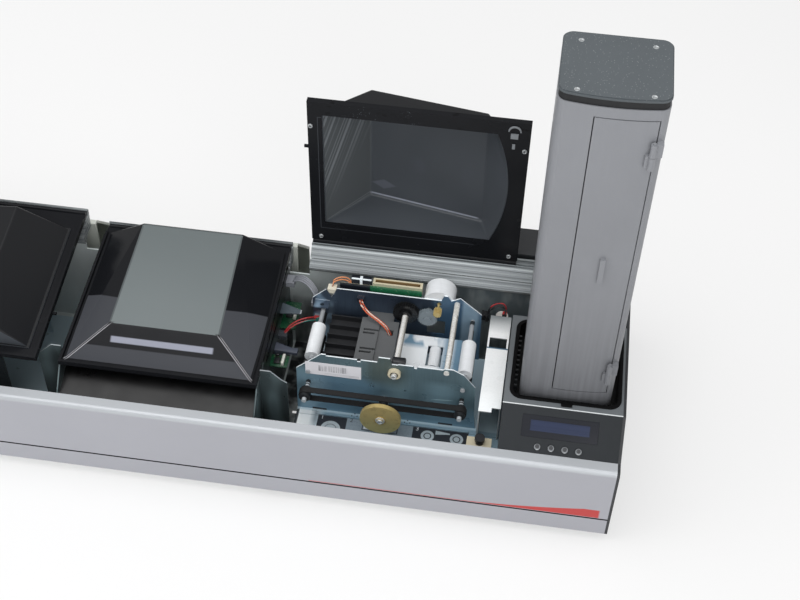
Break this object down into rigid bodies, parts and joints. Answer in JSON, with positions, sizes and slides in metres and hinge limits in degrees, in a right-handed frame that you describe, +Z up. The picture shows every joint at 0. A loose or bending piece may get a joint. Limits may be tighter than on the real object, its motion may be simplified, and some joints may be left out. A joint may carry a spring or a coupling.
{
  "type": "card printer",
  "caption": "Long desktop card printer with a feeder tower, a stacker tower and three hinged smoked lids over the card path.",
  "frame": {"origin": "centre of the footprint, on the table surface under the feet", "axes": "+X to the right along the card path towards the feeder tower, -Y to the front with the controls, +Z up"},
  "size_m": [1.009, 0.319, 0.556],
  "materials": {
    "tray_steel": "matt",
    "lilac_silver": "satin",
    "end_cover_plastic": "fine grain",
    "rear_cover_plastic": "fine grain",
    "foot_rubber": "matt",
    "rail_aluminium": "satin",
    "black_fittings": "satin",
    "dark_chassis": "satin",
    "deck_plastic": "fine grain",
    "panel_plastic": "fine grain",
    "display_window": "gloss",
    "button_plastic": "satin",
    "tower_plastic": "fine grain",
    "cap_plastic": "speckled",
    "feed_rubber": "matt",
    "bracket_zinc": "zinc plated",
    "motor_steel": "turned",
    "front_plate_zinc": "zinc plated",
    "floor_zinc": "zinc plated",
    "rear_plate_zinc": "zinc plated",
    "cream_plastic": "satin",
    "white_roller": "satin",
    "shaft_steel": "turned",
    "brass": "turned",
    "gear_plastic": "satin",
    "head_metal": "satin",
    "board_green": "satin",
    "wire_insulation": "satin",
    "lid_frame_black": "gloss",
    "smoked_hood": "smoked gloss",
    "print_hood_gloss": "gloss",
    "print_head_metal": "satin",
    "ribbon_film": "gloss",
    "drum_plastic": "satin"
  },
  "bodies": {
    "base": {"base_tray": "tray_steel", "front_panel": "lilac_silver", "right_end_cover": "end_cover_plastic", "left_end_cover": "end_cover_plastic", "rear_cover": "rear_cover_plastic", "feet": "foot_rubber", "hinge_rails": "rail_aluminium", "power_inlet": "black_fittings", "print_chassis": "dark_chassis", "feeder_deck": "deck_plastic", "control_panel": "panel_plastic", "lcd_window": "display_window", "feeder_tower": "tower_plastic", "tower_caps": "cap_plastic", "feed_bracket": "bracket_zinc", "feed_motor": "motor_steel", "stacker_deck": "deck_plastic", "stacker_tower": "tower_plastic", "encoder_front_plate": "front_plate_zinc", "encoder_floor": "floor_zinc", "encoder_rear_plate": "rear_plate_zinc", "tie_rod": "motor_steel", "shaft_bush": "cream_plastic", "drive_belt": "feed_rubber", "drive_motor": "white_roller", "card_guide": "black_fittings", "head_block": "head_metal", "sensor_board": "board_green", "lid_switch": "cream_plastic", "internal_wiring": "wire_insulation", "print_head": "print_head_metal", "flip_chassis": "floor_zinc"},
    "encoder_lid": {"encoder_lid_frame": "lid_frame_black", "encoder_lid_hood": "smoked_hood"},
    "print_lid": {"print_lid_frame": "lid_frame_black", "print_lid_hood": "print_hood_gloss"},
    "flip_lid": {"flip_lid_frame": "lid_frame_black", "flip_lid_hood": "smoked_hood"},
    "feeder_door": {"feeder_tower_door": "tower_plastic"},
    "stacker_door": {"stacker_tower_door": "tower_plastic"},
    "weight": {"card_weight": "black_fittings"},
    "key_1": {"button_1": "button_plastic"},
    "key_2": {"button_2": "button_plastic"},
    "key_3": {"button_3": "button_plastic"},
    "key_4": {"button_4": "button_plastic"},
    "interlock_plunger": {"lid_plunger": "black_fittings"},
    "left_drive": {"left_drive_shaft": "shaft_steel"},
    "right_drive": {"right_drive_shaft": "shaft_steel"},
    "entry_transport": {"entry_roller": "white_roller"},
    "exit_transport": {"exit_roller": "white_roller"},
    "wheel": {"flywheel": "brass"},
    "idle_transport": {"floor_roller": "white_roller"},
    "main_drive": {"main_shaft": "motor_steel"},
    "idler": {"idler_gear": "gear_plastic"},
    "pinion": {"motor_pinion": "brass"},
    "card_picker": {"feed_roller": "feed_rubber"},
    "flipper": {"flip_drum": "drum_plastic"},
    "platen": {"platen_roller": "feed_rubber"},
    "supply_spool": {"ribbon_supply_spool": "ribbon_film"},
    "takeup_spool": {"ribbon_takeup_spool": "ribbon_film"}
  },
  "joints": [
    {"name": "encoder_lid_hinge", "type": "hinge", "parent": "base", "child": "encoder_lid", "pos_m": [0.2536, 0.0829, 0.174], "axis": [1, 0, 0], "range_deg": [0, 99]},
    {"name": "print_lid_hinge", "type": "hinge", "parent": "base", "child": "print_lid", "pos_m": [0, 0.0829, 0.158], "axis": [1, 0, 0], "range_deg": [-95.2, 0]},
    {"name": "flip_lid_hinge", "type": "hinge", "parent": "base", "child": "flip_lid", "pos_m": [-0.2536, 0.0829, 0.174], "axis": [1, 0, 0], "range_deg": [-99, 0]},
    {"name": "feeder_door_hinge", "type": "hinge", "parent": "base", "child": "feeder_door", "pos_m": [0.4795, -0.0909, 0.36], "axis": [0, 0, 1], "range_deg": [0, 110]},
    {"name": "stacker_door_hinge", "type": "hinge", "parent": "base", "child": "stacker_door", "pos_m": [-0.4795, -0.0909, 0.36], "axis": [0, 0, 1], "range_deg": [-110, 0]},
    {"name": "weight_lift", "type": "slide", "parent": "base", "child": "weight", "axis": [0, 0, 1], "range_m": [0, 0.38]},
    {"name": "key_1_press", "type": "slide", "parent": "base", "child": "key_1", "axis": [0, 0.6418, -0.7669], "range_m": [0, 0.0012], "stiffness_N_per_m": 400, "springref_m": -0.0005},
    {"name": "key_2_press", "type": "slide", "parent": "base", "child": "key_2", "axis": [0, 0.6418, -0.7669], "range_m": [0, 0.0012], "stiffness_N_per_m": 400, "springref_m": -0.0005},
    {"name": "key_3_press", "type": "slide", "parent": "base", "child": "key_3", "axis": [0, 0.6418, -0.7669], "range_m": [0, 0.0012], "stiffness_N_per_m": 400, "springref_m": -0.0005},
    {"name": "key_4_press", "type": "slide", "parent": "base", "child": "key_4", "axis": [0, 0.6418, -0.7669], "range_m": [0, 0.0012], "stiffness_N_per_m": 400, "springref_m": -0.0005},
    {"name": "plunger_press", "type": "slide", "parent": "base", "child": "interlock_plunger", "axis": [0, 0, -1], "range_m": [0, 0.004], "stiffness_N_per_m": 150, "springref_m": -0.001},
    {"name": "left_drive_spin", "type": "hinge", "parent": "base", "child": "left_drive", "pos_m": [0.1605, -0.0845, 0.123], "axis": [0, 1, 0], "continuous": true},
    {"name": "right_drive_spin", "type": "hinge", "parent": "base", "child": "right_drive", "pos_m": [0.33, -0.0845, 0.123], "axis": [0, 1, 0], "continuous": true},
    {"name": "entry_spin", "type": "hinge", "parent": "base", "child": "entry_transport", "pos_m": [0.1605, -0.0845, 0.1398], "axis": [0, 1, 0], "continuous": true},
    {"name": "exit_spin", "type": "hinge", "parent": "base", "child": "exit_transport", "pos_m": [0.33, -0.0845, 0.1398], "axis": [0, 1, 0], "continuous": true},
    {"name": "wheel_spin", "type": "hinge", "parent": "base", "child": "wheel", "pos_m": [0.2445, -0.0845, 0.1065], "axis": [0, 1, 0], "continuous": true},
    {"name": "idle_spin", "type": "hinge", "parent": "base", "child": "idle_transport", "pos_m": [0.293, -0.0395, 0.1244], "axis": [0, 1, 0], "continuous": true},
    {"name": "main_spin", "type": "hinge", "parent": "base", "child": "main_drive", "pos_m": [0.2555, -0.0395, 0.155], "axis": [0, 1, 0], "continuous": true},
    {"name": "idler_spin", "type": "hinge", "parent": "base", "child": "idler", "pos_m": [0.27991, 0.0055, 0.15157], "axis": [0, 1, 0], "continuous": true},
    {"name": "pinion_spin", "type": "hinge", "parent": "base", "child": "pinion", "pos_m": [0.2908, 0.0055, 0.16137], "axis": [0, 1, 0], "continuous": true},
    {"name": "picker_spin", "type": "hinge", "parent": "base", "child": "card_picker", "pos_m": [0.4395, -0.0415, 0.1178], "axis": [0, 1, 0], "continuous": true},
    {"name": "flip_turn", "type": "hinge", "parent": "base", "child": "flipper", "pos_m": [-0.2485, -0.0415, 0.131], "axis": [0, 1, 0], "continuous": true},
    {"name": "platen_spin", "type": "hinge", "parent": "base", "child": "platen", "pos_m": [0, -0.0415, 0.122], "axis": [0, 1, 0], "continuous": true},
    {"name": "supply_spin", "type": "hinge", "parent": "base", "child": "supply_spool", "pos_m": [0.052, -0.0415, 0.148], "axis": [0, 1, 0], "continuous": true},
    {"name": "takeup_spin", "type": "hinge", "parent": "base", "child": "takeup_spool", "pos_m": [-0.052, -0.0415, 0.148], "axis": [0, 1, 0], "continuous": true}
  ],
  "couplings": [
    {"joint": "right_drive_spin", "follows": "left_drive_spin", "ratio": 1},
    {"joint": "wheel_spin", "follows": "left_drive_spin", "ratio": -0.8},
    {"joint": "entry_spin", "follows": "left_drive_spin", "ratio": -0.975},
    {"joint": "exit_spin", "follows": "left_drive_spin", "ratio": -0.975},
    {"joint": "idler_spin", "follows": "pinion_spin", "ratio": -0.38461},
    {"joint": "main_spin", "follows": "pinion_spin", "ratio": 0.28571}
  ]
}
